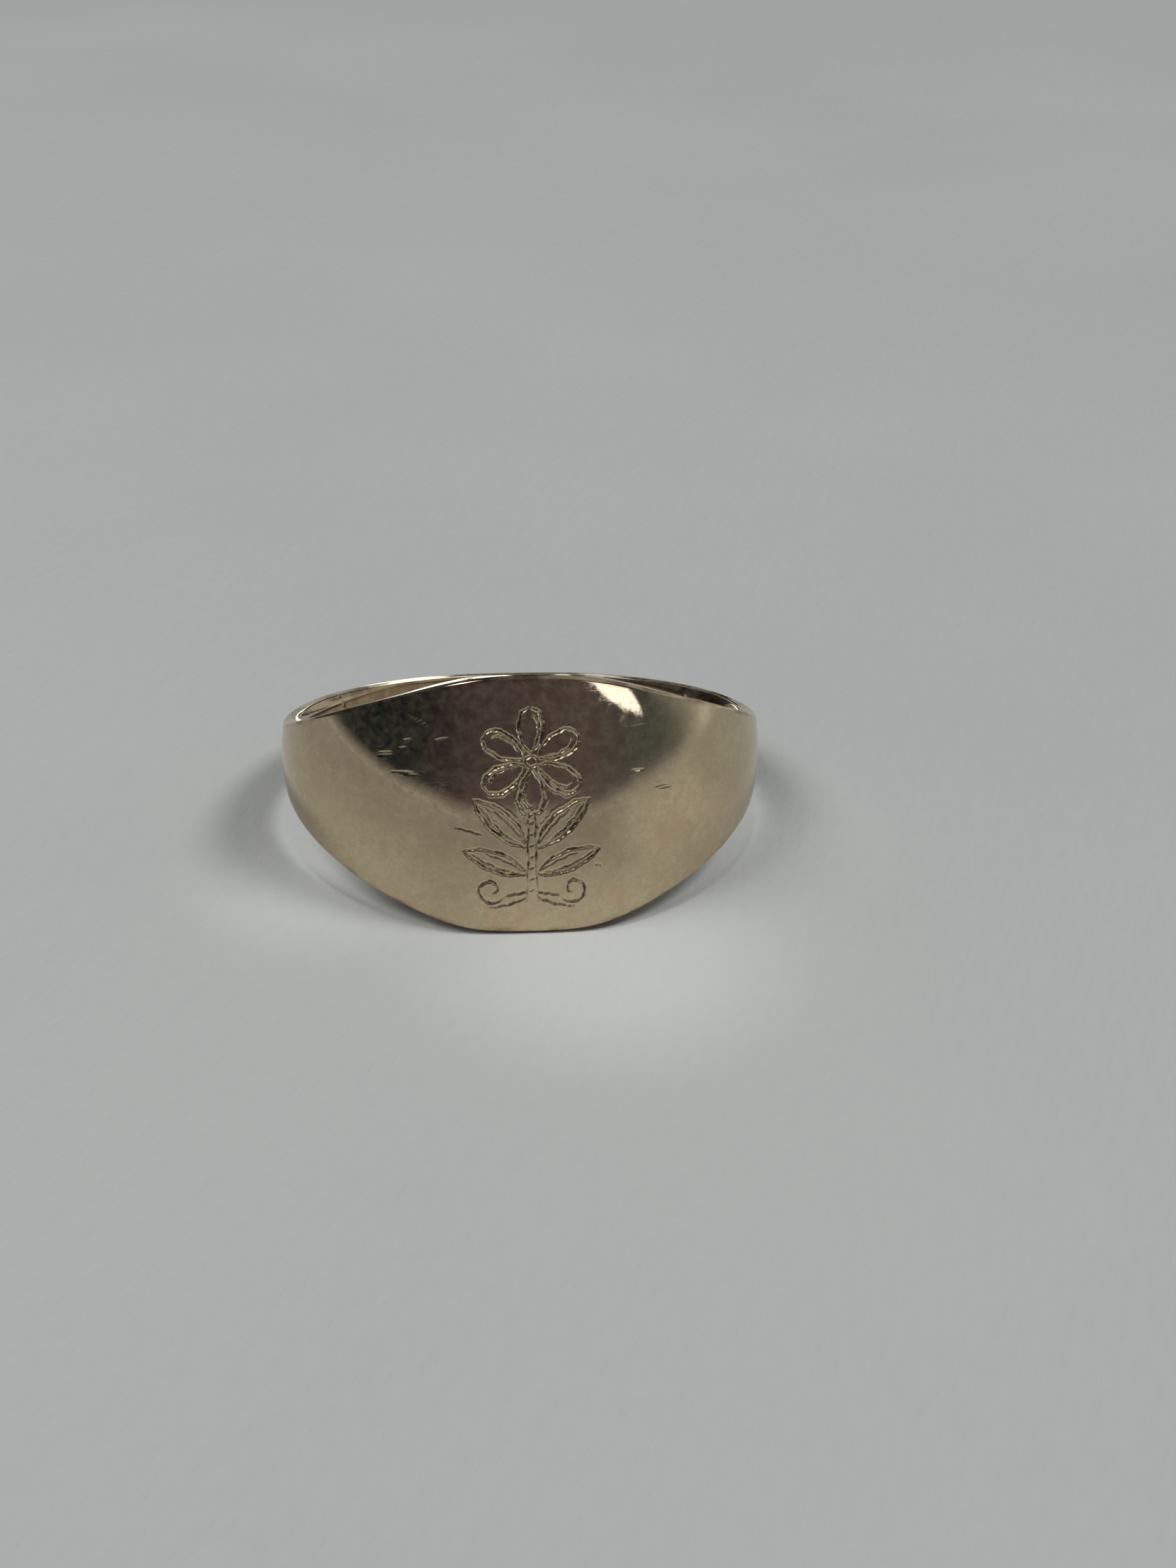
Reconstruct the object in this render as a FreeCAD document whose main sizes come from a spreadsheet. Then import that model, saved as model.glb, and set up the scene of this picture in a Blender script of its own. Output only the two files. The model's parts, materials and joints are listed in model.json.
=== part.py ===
import FreeCAD, Part
import math
import os
import Sketcher

# Signet ring lying on its side, at rest on a level table.
# Millimetres, +Z up.  The origin is the centre of the finger bore.
# Each piece is drawn in the ring's own frame, with the finger axis on Z, the
# signet face towards -Y and the back of the shank towards +Y.  Its Placement
# then leans the ring back to its resting angle: the wide head and the narrow
# back of the shank both touch the table.

# ---------------------------------------------------------------- dimensions

DIMENSIONS = {
    "bore_radius": 9.1,        # inside of the ring, US size 8
    "shank_wall": 0.78,        # metal at the rims, from the shoulders to the back
    "table_distance": 9.57,    # from the finger axis to the flattened table at its rims
    "table_softness": 0.2,     # rounding of the crease between table and shoulders
    "crown_ratio": 0.09,       # bulge of the outer face over its half width
    "pitch_radius": 9.8,       # radius on which lengths round the ring are measured
    "head_half_width": 5.12,   # half of the head's width along the finger
    "shoulder_slope": 0.345,   # narrowing of the half width per mm round the ring
    "shoulder_run": 17.4,      # where the shoulder's straight edges would meet
    "head_softness": 0.4,      # rounding between the head and the straight shoulder
    "shank_half_width": 0.86,  # half of the shank's width at the back
    "shank_slope": 0.0135,     # widening of the shank's half width per mm from the back
    "shank_softness": 0.7,     # rounding between the straight shoulder and the shank
    "seam_angle": 124.0,       # place of the two solder seams, from the face, in degrees
    "seam_width": 0.25,        # solder between the head's shank and the back piece
    "edge_round": 0.12,        # softened edges of both rims
    "bore_stock": 0.4,         # extra metal inside the bore, cut away by the bore
    "bore_depth": 14.0,        # length of the cut that finishes the bore
}

TABLE_REACH = 70.0  # degrees from the face beyond which the table has no effect
LEAST_TURN = 0.01   # radians; an edge that turns less lies across the ring
HEAD_STATIONS = 21  # sections along the head and its shoulders
BACK_STATIONS = 9   # sections along the back of the shank


def make_sheet(document):
    """Put the driving dimensions in a spreadsheet, one named cell each."""
    sheet = document.addObject("Spreadsheet::Sheet", "dims")
    for row, (name, value) in enumerate(DIMENSIONS.items(), start=1):
        sheet.set(f"A{row}", name)
        sheet.set(f"B{row}", str(value))
        sheet.setAlias(f"B{row}", name)
    document.recompute()
    return sheet


# ------------------------------------------------------- shape of the section

def lesser(first, second, softness):
    """The smaller of two lengths, rounded where they cross."""
    return f"((({first}) + ({second}) - sqrt((({first}) - ({second}))^2 + ({softness})^2)) / 2)"


def greater(first, second, softness):
    """The larger of two lengths, rounded where they cross."""
    return f"((({first}) + ({second}) + sqrt((({first}) - ({second}))^2 + ({softness})^2)) / 2)"


def from_face(angle):
    """The angle from the face, 0 to 180 degrees, on either side of the ring."""
    return abs((angle + 180.0) % 360.0 - 180.0)


def half_width(angle):
    """Half of the ring's width at an angle from the face: head, shoulder, shank."""
    turn = round(math.radians(from_face(angle)), 6)
    back = round(math.pi - turn, 6)
    shoulder = f"dims.shoulder_slope * (dims.shoulder_run - dims.pitch_radius * {turn})"
    shank = f"dims.shank_half_width + dims.shank_slope * dims.pitch_radius * {back}"
    head = lesser("dims.head_half_width", shoulder, "dims.head_softness")
    return greater(head, shank, "dims.shank_softness")


def rim_radius(angle):
    """Radius of the rims' outer edges: a round shank with a flattened table in front."""
    shank = "dims.bore_radius + dims.shank_wall"
    if from_face(angle) > TABLE_REACH:
        return shank
    stretch = round(1.0 / math.cos(math.radians(angle)), 6)
    return lesser(f"dims.table_distance * {stretch}", shank, "dims.table_softness")


def crown_radius(angle):
    """Radius of the arc that bulges the outer face between its two rims."""
    return f"{half_width(angle)} * (1 + dims.crown_ratio^2) / (2 * dims.crown_ratio)"


def rest_tilt():
    """Backward lean that brings the head's inner edge and the back's outer edge level."""
    drop = f"{half_width(0)} - {half_width(180)}"
    reach = "2 * dims.bore_radius + dims.shank_wall"
    return f"atan(({drop}) / ({reach}))"


def origin_plane(body, role):
    """One of the body's own origin planes."""
    for feature in body.Origin.OriginFeatures:
        if feature.Role == role:
            return feature
    raise RuntimeError(f"{body.Name} has no {role}")


def evaluate(document, expression):
    """The value of an expression of the sheet's cells."""
    value = document.getObject("dims").evalExpression(expression)
    return float(getattr(value, "Value", value))


def add_section(body, name, angle):
    """Sketch the ring's section at an angle: straight bore side, crowned outer side."""
    document = body.Document
    sketch = body.newObject("Sketcher::SketchObject", name)
    sketch.AttachmentSupport = (origin_plane(body, "YZ_Plane"), [""])
    sketch.MapMode = "FlatFace"
    turned = FreeCAD.Rotation(FreeCAD.Vector(0, 1, 0), angle + 180.0)
    sketch.AttachmentOffset = FreeCAD.Placement(FreeCAD.Vector(), turned)

    inner_text = "dims.bore_radius - dims.bore_stock"
    inner = evaluate(document, inner_text)
    outer = evaluate(document, rim_radius(angle))
    half = evaluate(document, half_width(angle))
    bulge = half * DIMENSIONS["crown_ratio"]

    low_in = FreeCAD.Vector(inner, -half, 0)
    low_out = FreeCAD.Vector(outer, -half, 0)
    middle = FreeCAD.Vector(outer + bulge, 0, 0)
    high_out = FreeCAD.Vector(outer, half, 0)
    high_in = FreeCAD.Vector(inner, half, 0)

    low_rim = sketch.addGeometry(Part.LineSegment(low_in, low_out), False)
    crown = sketch.addGeometry(Part.Arc(low_out, middle, high_out), False)
    high_rim = sketch.addGeometry(Part.LineSegment(high_out, high_in), False)
    bore = sketch.addGeometry(Part.LineSegment(high_in, low_in), False)

    start, end = 1, 2
    axis = -1
    sketch.addConstraint(Sketcher.Constraint("Coincident", low_rim, end, crown, start))
    sketch.addConstraint(Sketcher.Constraint("Coincident", crown, end, high_rim, start))
    sketch.addConstraint(Sketcher.Constraint("Coincident", high_rim, end, bore, start))
    sketch.addConstraint(Sketcher.Constraint("Coincident", bore, end, low_rim, start))
    sketch.addConstraint(Sketcher.Constraint("Horizontal", low_rim))
    sketch.addConstraint(Sketcher.Constraint("Horizontal", high_rim))
    sketch.addConstraint(Sketcher.Constraint("Symmetric", bore, end, bore, start, axis))
    sketch.addConstraint(Sketcher.Constraint("Vertical", low_rim, end, high_rim, start))
    inside = Sketcher.Constraint("DistanceX", axis, start, bore, end, inner)
    rim = Sketcher.Constraint("DistanceX", axis, start, low_rim, end, outer)
    width = Sketcher.Constraint("DistanceY", bore, end, bore, start, 2 * half)
    bind(sketch, "inside", inside, inner_text)
    bind(sketch, "rim", rim, rim_radius(angle))
    bind(sketch, "width", width, f"2 * {half_width(angle)}")
    curve = evaluate(document, crown_radius(angle))
    bind(sketch, "crown", Sketcher.Constraint("Radius", crown, curve), crown_radius(angle))
    return sketch


def bind(sketch, name, constraint, expression):
    """Add a named size to a sketch and tie it to the sheet."""
    index = sketch.addConstraint(constraint)
    sketch.renameConstraint(index, name)
    sketch.setExpression(f"Constraints.{name}", expression)


# -------------------------------------------------------------- the sub-parts

def add_sweep(body, angles):
    """Loft the section round the ring through the given angles."""
    sections = [add_section(body, f"{body.Name}_section_{i}", a) for i, a in enumerate(angles)]
    body.Document.recompute()
    loft = body.newObject("PartDesign::AdditiveLoft", f"{body.Name}_loft")
    loft.Profile = sections[0]
    loft.Sections = sections[1:]
    loft.Ruled = False
    body.Document.recompute()
    return loft


def cut_bore(body):
    """Finish the inside to the round finger bore."""
    sketch = body.newObject("Sketcher::SketchObject", f"{body.Name}_bore_sketch")
    sketch.AttachmentSupport = (origin_plane(body, "XY_Plane"), [""])
    sketch.MapMode = "FlatFace"
    circle = Part.Circle(FreeCAD.Vector(), FreeCAD.Vector(0, 0, 1), DIMENSIONS["bore_radius"])
    ring = sketch.addGeometry(circle, False)
    sketch.addConstraint(Sketcher.Constraint("Coincident", ring, 3, -1, 1))
    radius = Sketcher.Constraint("Radius", ring, DIMENSIONS["bore_radius"])
    bind(sketch, "bore", radius, "dims.bore_radius")
    body.Document.recompute()
    before = body.Shape.Volume
    pocket = body.newObject("PartDesign::Pocket", f"{body.Name}_bore")
    pocket.Profile = sketch
    pocket.Midplane = True
    pocket.setExpression("Length", "dims.bore_depth")
    body.Document.recompute()
    if body.Shape.Volume >= before:
        raise RuntimeError(f"the bore cut nothing from {body.Name}")
    return pocket


def runs_round(edge):
    """True for an edge that follows the ring, not one across its end."""
    first, last = edge.Vertexes[0].Point, edge.Vertexes[-1].Point
    turn = math.atan2(first.x, first.y) - math.atan2(last.x, last.y)
    return abs(turn) > LEAST_TURN


def soften_edges(body, base):
    """Round the edges that run round the ring; each one rounded adds a face."""
    edges = [f"Edge{i}" for i, e in enumerate(base.Shape.Edges, start=1) if runs_round(e)]
    fillet = body.newObject("PartDesign::Fillet", f"{body.Name}_edges")
    fillet.Base = (base, edges)
    fillet.setExpression("Radius", "dims.edge_round")
    body.Document.recompute()
    if len(body.Shape.Faces) <= len(base.Shape.Faces):
        raise RuntimeError(f"no edge of {body.Name} was rounded")


def make_piece(document, name, angles):
    """One piece of the ring between two angles, leaned back to the resting angle."""
    body = document.addObject("PartDesign::Body", name)
    body.Label = name
    add_sweep(body, angles)
    pocket = cut_bore(body)
    soften_edges(body, pocket)
    backward = FreeCAD.Rotation(FreeCAD.Vector(-1, 0, 0), evaluate(document, rest_tilt()))
    body.Placement = FreeCAD.Placement(FreeCAD.Vector(), backward)
    body.setExpression("Placement.Rotation.Angle", rest_tilt())
    document.recompute()
    return body


def stations(first, last, count):
    """Evenly spaced angles, with both ends."""
    return [first + (last - first) * i / (count - 1) for i in range(count)]


def make_ring(document):
    """Head with its shoulders, back of the shank, and the two solder seams."""
    seam = DIMENSIONS["seam_angle"]
    half_seam = math.degrees(DIMENSIONS["seam_width"] / DIMENSIONS["pitch_radius"]) / 2.0
    head_end = seam - half_seam
    back_start = seam + half_seam
    return [
        make_piece(document, "signet_head", stations(-head_end, head_end, HEAD_STATIONS)),
        make_piece(document, "back_shank", stations(back_start, 360.0 - back_start, BACK_STATIONS)),
        make_piece(document, "solder_seam_right", [head_end, back_start]),
        make_piece(document, "solder_seam_left", [-back_start, -head_end]),
    ]


# ---------------------------------------------------------- checks and output

def check_document(document):
    """Stop if any object failed to compute."""
    for item in document.Objects:
        if "Invalid" in item.State or "Error" in item.State:
            raise RuntimeError(f"{item.Name} is {item.State}")


def export_pieces(pieces):
    """Write each piece to parts/NAME.step."""
    os.makedirs("parts", exist_ok=True)
    for piece in pieces:
        if piece.Shape.isNull() or not piece.Shape.isValid():
            raise RuntimeError(f"{piece.Label} has no valid shape")
        piece.Shape.exportStep(f"parts/{piece.Label}.step")
        print(piece.Label, round(piece.Shape.Volume, 3), "mm3", len(piece.Shape.Solids), "solid")


def main():
    document = FreeCAD.newDocument("signet_ring")
    make_sheet(document)
    pieces = make_ring(document)
    document.recompute()
    check_document(document)
    export_pieces(pieces)


main()
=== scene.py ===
import json
import math

import bpy
import numpy as np
from mathutils import Matrix, Vector
from mathutils.bvhtree import BVHTree


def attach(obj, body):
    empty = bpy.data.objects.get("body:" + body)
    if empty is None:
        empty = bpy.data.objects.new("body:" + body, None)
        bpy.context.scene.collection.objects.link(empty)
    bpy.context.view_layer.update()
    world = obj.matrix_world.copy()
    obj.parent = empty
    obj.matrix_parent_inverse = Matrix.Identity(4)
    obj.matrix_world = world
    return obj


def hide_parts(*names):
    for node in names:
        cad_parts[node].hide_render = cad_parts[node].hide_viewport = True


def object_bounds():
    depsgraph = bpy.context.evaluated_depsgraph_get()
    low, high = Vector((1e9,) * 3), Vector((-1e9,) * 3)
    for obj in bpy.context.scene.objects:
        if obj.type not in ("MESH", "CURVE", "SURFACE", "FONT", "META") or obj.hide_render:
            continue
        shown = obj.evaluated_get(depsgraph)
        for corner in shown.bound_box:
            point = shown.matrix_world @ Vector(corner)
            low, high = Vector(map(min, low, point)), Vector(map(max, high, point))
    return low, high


# A light gold signet ring with an engraved flower spray, lying on its side.
# Lengths are written in millimetres and turned to metres where meshes are made.

MM = 0.001
BODY = "root"

# ------------------------------------------------------------- the CAD frame

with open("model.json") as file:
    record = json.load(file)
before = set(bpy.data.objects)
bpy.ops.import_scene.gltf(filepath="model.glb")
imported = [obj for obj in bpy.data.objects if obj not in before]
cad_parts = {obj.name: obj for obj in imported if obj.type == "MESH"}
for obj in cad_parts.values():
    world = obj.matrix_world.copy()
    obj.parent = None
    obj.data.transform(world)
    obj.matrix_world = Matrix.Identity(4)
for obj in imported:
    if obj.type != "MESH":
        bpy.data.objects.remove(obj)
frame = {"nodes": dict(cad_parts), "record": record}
cad_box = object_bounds()


class Ring:
    """The ring's own frame and its outline, measured on the CAD bodies.

    Angles go round the ring from the middle of the signet face.  Heights are
    along the finger, from the plane midway between the rims.
    """

    SERIES = 22          # terms of the smooth width
    PROBE_STEP = 3       # degrees between measured widths
    RIM_PROBE = 0.22     # depth into the rim where its height is measured
    NEAR_RIM = 0.8       # share of the half width where the face's bulge is measured
    FAR = 30.0           # outside everything
    CREASE = 0.2         # softness of the crease between the table and the shoulders
    STEEPEST = 0.35      # cosine beyond which the table's plane is far outside the ring

    def __init__(self, record, nodes):
        mount = next(m for m in record["mounts"] if m["name"] == "finger_bore")
        self.centre = Vector(mount["pos_m"])
        self.up = Vector(mount["axis"]).normalized()
        self.side = Vector((1.0, 0.0, 0.0))
        self.back = self.up.cross(self.side).normalized()
        self.bore = mount["dims"]["r_mm"]
        self.trees = [self.tree(node) for node in nodes]
        self.measure_width()
        self.measure_radius()

    def tree(self, node):
        """A search tree of a CAD node's faces."""
        corners = [v.co.copy() for v in node.data.vertices]
        return BVHTree.FromPolygons(corners, [p.vertices[:] for p in node.data.polygons])

    def place(self, angle, radius, height):
        """A point of the row frame, in metres, from ring coordinates."""
        flat = self.side * (radius * math.sin(angle)) - self.back * (radius * math.cos(angle))
        return self.centre + (flat + self.up * height) * MM

    def cast(self, start, direction):
        """Distance in mm from start to the nearest CAD face in a direction."""
        hits = [tree.ray_cast(start, direction)[3] for tree in self.trees]
        return min(d for d in hits if d is not None) / MM

    def probe_radius(self, angle, height):
        """Radius of the outer face."""
        start = self.place(angle, self.FAR, height)
        inward = (self.place(angle, 0.0, height) - start).normalized()
        return self.FAR - self.cast(start, inward)

    def probe_height(self, angle):
        """Half of the width along the finger."""
        start = self.place(angle, self.bore + self.RIM_PROBE, self.FAR)
        return self.FAR - self.cast(start, -self.up)

    def measure_width(self):
        """Cosine series through the half widths measured round the ring."""
        angles = np.radians(np.arange(0, 360, self.PROBE_STEP) + 1.0)
        waves = np.cos(np.outer(angles, np.arange(self.SERIES)))
        heights = np.array([self.probe_height(a) for a in angles])
        self.width_terms = np.linalg.lstsq(waves, heights, rcond=None)[0]

    def measure_radius(self):
        """Bulge of the face, radius of the round shank, distance of the flat table."""
        table_height = float(self.half_width(0.0))
        middle = self.probe_radius(0.0, 0.0)
        fall = middle - self.probe_radius(0.0, self.NEAR_RIM * table_height)
        self.bulge = fall / self.NEAR_RIM ** 2 / table_height
        quarter = math.pi / 2
        self.shank = self.probe_radius(quarter, 0.0) - self.bulge * float(self.half_width(quarter))
        dip = 2.0 * (self.shank - (middle - self.bulge * table_height))
        self.table = self.shank - (dip ** 2 - self.CREASE ** 2) / (2.0 * dip)

    def half_width(self, angle):
        angle = np.asarray(angle, float)
        return np.cos(angle[..., None] * np.arange(self.SERIES)) @ self.width_terms

    def rim_radius(self, angle):
        """The round shank, with the flat table cutting across it in front."""
        flat = self.table / np.maximum(np.cos(angle), self.STEEPEST)
        gap = flat - self.shank
        return (flat + self.shank - np.sqrt(gap ** 2 + self.CREASE ** 2)) / 2.0

    def to_row(self, angle, radius, height):
        """Row frame points, in metres, as an array from arrays of ring coordinates."""
        side = np.array(self.side)
        back = np.array(self.back)
        up = np.array(self.up)
        flat = np.outer(radius * np.sin(angle), side) - np.outer(radius * np.cos(angle), back)
        return np.array(self.centre) + (flat + np.outer(height, up)) * MM


ring = Ring(frame["record"], frame["nodes"].values())
FACE_RADIUS = float(ring.rim_radius(0.0) + ring.bulge * ring.half_width(0.0))


def end_angles(node):
    """The angles, from the face and in radians, between which a CAD node lies."""
    points = np.array([v.co for v in frame["nodes"][node].data.vertices])
    points = points - np.array(ring.centre)
    angle = np.arctan2(points @ np.array(ring.side), -points @ np.array(ring.back))
    if angle.max() - angle.min() > math.pi and abs(angle).min() > 1.0:
        angle = np.where(angle < 0, angle + 2 * math.pi, angle)
    return float(angle.min()), float(angle.max())


# ---------------------------------------------------------------- engraving

SPRAY_HEIGHT = 0.77 * float(ring.half_width(0.0))   # from the middle to the spray's ends
CUT_WIDTH = 0.080                                   # half width of a graver's cut
CUT_STEEPNESS = 0.75                                # depth over half width
BURR = 0.005                                        # metal raised beside a cut
SHAKE = 0.02                                        # unsteadiness of the hand
STEM_LENGTH = 1.2 * SPRAY_HEIGHT                    # the leaves' places are shares of it
LEAVES = (               # length, width, lean in degrees, place up the stem, seed of the unsteadiness
    (2.75, 0.74, 44, 0.47, 11.0),
    (2.60, 0.66, 22, 0.24, 17.0),
)
NICKS = (                # small knocks and deep scratches that a worn face has, from end to end
    ((-4.9, 3.5), (-3.9, 3.15)),
    ((-5.0, 2.2), (-4.7, 2.8)),
    ((-3.7, 2.6), (-3.2, 2.75)),
    ((-5.9, 2.3), (-5.7, 1.8)),
    ((-5.2, 1.3), (-4.6, 1.2)),
    ((4.0, 1.4), (4.2, 1.3)),
    ((2.4, -2.3), (2.7, -2.4)),
    ((5.0, 0.7), (5.5, 0.4)),
    ((-2.9, -0.7), (-1.9, -1.0)),
)


def bezier(a, b, c, d, count=44):
    """Points on a cubic curve."""
    t = np.linspace(0.0, 1.0, count)[:, None]
    a, b, c, d = (np.array(p, float) for p in (a, b, c, d))
    return a * (1 - t) ** 3 + 3 * b * t * (1 - t) ** 2 + 3 * c * t ** 2 * (1 - t) + d * t ** 3


def cut(points, weight=1.0, seed=0.0):
    """A stroke: its line with a little unsteadiness, and its half width along it."""
    t = np.linspace(0.0, 1.0, len(points))
    shake = SHAKE * np.stack([np.sin(23 * t + 3 * seed), np.cos(19 * t + 5 * seed)], 1)
    swell = np.sin(math.pi * np.clip(t * 0.96 + 0.02, 0, 1)) ** 0.3
    chatter = 1.0 + 0.14 * np.sin(61 * t + 7 * seed) + 0.1 * np.sin(27 * t + 2 * seed)
    return points + shake, CUT_WIDTH * weight * swell * chatter


def turned(points, angle, centre):
    """Points turned about the origin and moved to a centre."""
    c, s = math.cos(angle), math.sin(angle)
    return points @ np.array([[c, s], [-s, c]]) + np.array(centre)


def leaf(length, width, angle, centre, seed):
    """Two edges, a doubled lower edge and a midrib, from the stem outwards."""
    upper = bezier((0, 0), (0.25 * length, 0.9 * width), (0.75 * length, 0.75 * width), (length, 0))
    lower = bezier((0, 0), (0.3 * length, -0.8 * width), (0.7 * length, -0.6 * width), (length, 0))
    inner = bezier((0.1 * length, -0.1 * width), (0.36 * length, -0.4 * width),
                   (0.62 * length, -0.3 * width), (0.9 * length, 0.02 * width))
    rib = bezier((0.06 * length, 0.08 * width), (0.3 * length, 0.34 * width),
                 (0.5 * length, 0.36 * width), (0.7 * length, 0.3 * width))
    parts = ((upper, 1.0), (lower, 1.1), (inner, 0.8), (rib, 0.55))
    return [cut(turned(p, angle, centre), w, seed + k) for k, (p, w) in enumerate(parts)]


def petal(length, width, angle, centre, seed):
    """One petal: a rounded loop with a second line inside its right edge."""
    left = bezier((0, 0), (0.3 * length, 1.05 * width), (1.05 * length, 0.95 * width), (length, 0))
    right = bezier((0, 0), (0.3 * length, -1.05 * width), (1.05 * length, -0.95 * width), (length, 0))
    inner = bezier((0.12 * length, -0.1 * width), (0.4 * length, -0.62 * width),
                   (0.85 * length, -0.6 * width), (0.84 * length, 0.0))
    parts = ((left, 1.0), (right, 1.05), (inner, 0.75))
    return [cut(turned(p, angle, centre), w, seed + k) for k, (p, w) in enumerate(parts)]


def ring_of(radius, centre, weight, seed):
    """A small round cut."""
    t = np.linspace(0, 2 * math.pi, 36)
    circle = np.stack([np.cos(t), np.sin(t)], 1) * radius + np.array(centre)
    return cut(circle, weight, seed)


def flower(centre, petals, length, width):
    """A plain open flower seen from the front."""
    strokes = [ring_of(0.22, centre, 0.9, 2.0)]
    for k in range(petals):
        angle = math.pi / 2 + k * 2 * math.pi / petals
        start = (centre[0] + 0.3 * math.cos(angle), centre[1] + 0.3 * math.sin(angle))
        strokes += petal(length, width, angle, start, 3.0 * k)
    return strokes


def stem(bottom, top):
    """A doubled, slightly waisted stem with short ticks across it."""
    strokes = []
    for sign, seed in ((-1, 0.3), (1, 1.7)):
        line = bezier((0.24 * sign, bottom), (0.08 * sign, bottom * 0.5), (0.2 * sign, top * 0.2),
                      (0.1 * sign, top))
        strokes.append(cut(line, 0.95, seed))
    ticks = np.arange(bottom + 0.4, top - 0.2, 0.46)
    for k, height in enumerate(ticks):
        tick = bezier((-0.13, height), (-0.05, height + 0.04), (0.05, height + 0.07),
                      (0.13, height + 0.13), 8)
        strokes.append(cut(tick, 0.5, float(k)))
    return strokes


def tendril(bottom, side):
    """A scroll at the foot of the stem: a bowed line that winds into a curl."""
    centre = np.array((1.62, bottom + 0.50))
    turn = np.linspace(math.radians(-150), math.radians(250), 60)
    radius = np.linspace(0.62, 0.16, len(turn))
    curl = centre + np.stack([radius * np.cos(turn), radius * np.sin(turn)], 1)
    line = bezier((0.16, bottom + 0.42), (0.35, bottom + 0.30), (0.75, bottom + 0.35), curl[0])
    double = bezier((0.16, bottom + 0.20), (0.45, bottom + 0.02), (1.0, bottom - 0.22),
                    (1.7, bottom - 0.24))
    strokes = ((line, 0.8), (curl, 0.95), (double, 0.75))
    return [cut(p * np.array([side, 1.0]), w, 4.0 + k) for k, (p, w) in enumerate(strokes)]


def flower_spray():
    """The whole ornament: flower, stem, two pairs of leaves and two scrolls."""
    centre = (0.0, SPRAY_HEIGHT - 2.08)
    foot = -SPRAY_HEIGHT + 0.2
    strokes = flower(centre, 6, 1.74, 0.62)
    strokes += stem(foot, centre[1] - 1.95)
    for side in (1, -1):
        for length, width, lean, share, seed in LEAVES:
            start = (0.2, foot + share * STEM_LENGTH)
            for line, widths in leaf(length, width, math.radians(lean), start, seed + side):
                strokes.append((line * np.array([side, 1.0]), widths))
        strokes += tendril(foot, side)
    return strokes


def nicks():
    """The nicks as slightly bowed strokes."""
    strokes = []
    for k, (start, end) in enumerate(NICKS):
        start, end = np.array(start), np.array(end)
        bow = np.array([0.0, 0.06 * (-1) ** k])
        line = bezier(start, start * 0.6 + end * 0.4 + bow, start * 0.3 + end * 0.7 + bow, end, 14)
        strokes.append(cut(line, 0.55, float(k)))
    return strokes


def groove_depth(across, height, strokes):
    """Depth of the cuts at points of the face, and the height of the burrs beside them."""
    depth = np.zeros(len(across))
    ridge = np.zeros(len(across))
    points = np.stack([across, height], 1)
    for line, widths in strokes:
        reach = widths.max() * 3
        low, high = line.min(0) - reach, line.max(0) + reach
        near = np.flatnonzero(((points > low) & (points < high)).all(1))
        if not len(near):
            continue
        start, step = line[:-1], np.diff(line, axis=0)
        offset = points[near][:, None, :] - start[None]
        along = np.clip((offset * step).sum(2) / (step ** 2).sum(1), 0.0, 1.0)
        gap = np.linalg.norm(offset - along[..., None] * step, axis=2)
        width = widths[:-1] + along * np.diff(widths)
        depth[near] = np.maximum(depth[near], ((width - gap) * CUT_STEEPNESS).max(1))
        beside = (gap - width * 1.25) / (width * 0.5 + 1e-6)
        raised = (np.exp(-beside ** 2) * BURR * (width / CUT_WIDTH)).max(1)
        ridge[near] = np.maximum(ridge[near], raised)
    return depth, np.where(depth > 0, 0.0, ridge)


# -------------------------------------------------------------- ring meshes

OUTER_EDGE = 0.13       # rounding of the rims' outer edges
INNER_EDGE = 0.11       # rounding of the rims' inner edges behind the face and at the back
WORN_EDGE = 0.45        # the same at the sides of the finger, where wear has thinned the rims
WORN_SPAN = (25.0, 70.0, 112.0, 150.0)  # degrees from the face: the wear sets in, is full, ebbs, ends
ON_BORE = 0.001         # nearer than this to the bore's radius, a point lies on the bore
SEAM_DIP = 0.02         # how far the surface dips beside a solder seam
SEAM_DIP_LENGTH = 0.14  # along the ring
SEAM_EASE = np.array([0.06, 0.12, 0.18])  # extra stations beside a seam
ENGRAVED = 3.1          # the spray lies within this distance of the middle
CUT_STATIONS = 0.032    # distance between stations under the engraving
SHOULDER_STATIONS = np.linspace(0.10, 0.30, 68)   # relative steps outwards along a shoulder
HEAD_POINTS = 241       # points across the head's face


def spread(start, stop, step):
    """Even values from start to stop, about a step apart."""
    count = max(2, int(round(abs(stop - start) / step)) + 1)
    return np.linspace(start, stop, count)


def rise(value, start, end):
    """Smooth step from 0 at start to 1 at end."""
    share = np.clip((value - start) / (end - start), 0.0, 1.0)
    return share * share * (3 - 2 * share)


def between(value, start, full, ebb, end):
    """Smooth rise from start to full, and smooth fall from ebb to end."""
    return rise(value, start, full) * (1.0 - rise(value, ebb, end))


def waviness(across, height):
    """Slight unevenness left by hand finishing and wear, in mm."""
    broad = np.sin(0.9 * across + 0.6) * np.cos(0.8 * height - 0.4)
    middle = np.sin(2.3 * across - 1.1 * height) + np.sin(1.7 * height + 1.3 * across + 2.0)
    fine = np.sin(4.9 * across + 2.2 * height + 1.0) * np.sin(4.1 * height - 1.7 * across)
    return 0.0016 * broad + 0.0005 * middle + 0.0003 * fine


def inner_edge(angle):
    """Rounding of the inner edges: narrow in front and at the back, broad at the sides."""
    turn = abs(math.degrees(angle))
    turn = min(turn, 360.0 - turn)
    return INNER_EDGE + (WORN_EDGE - INNER_EDGE) * float(between(turn, *WORN_SPAN))


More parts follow.
